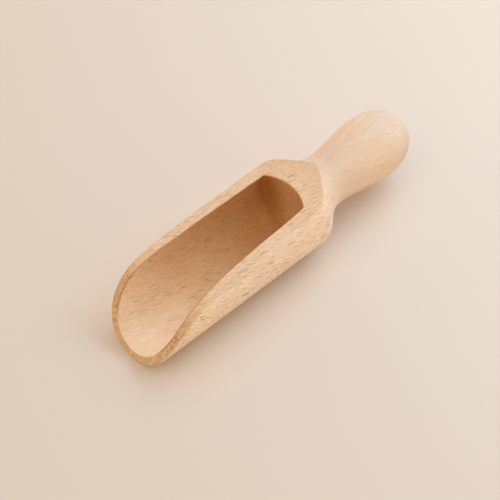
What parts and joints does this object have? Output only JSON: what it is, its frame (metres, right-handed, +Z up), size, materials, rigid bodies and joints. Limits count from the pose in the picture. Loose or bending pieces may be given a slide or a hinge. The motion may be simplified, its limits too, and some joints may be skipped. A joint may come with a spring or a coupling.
{
  "type": "scoop",
  "caption": "Turned beech scoop with a drilled, open-sided bowl, a slanting lip, a narrow neck and a club-shaped grip, for measuring out dry goods by hand.",
  "frame": {"origin": "On the surface that the scoop lies on, under the middle of its bounding box. The belly's contact line runs along X at Z = 0.", "axes": "+X from the lip towards the end of the grip, +Z up, out of the open side of the bowl, +Y across. The turning axis lies in the XZ plane, 0.33 degrees nose-up."},
  "size_m": [0.1496, 0.0422, 0.0346],
  "materials": {
    "beech": "fine sanded, unvarnished"
  },
  "bodies": {
    "root": {"scoop": "beech"}
  },
  "joints": []
}
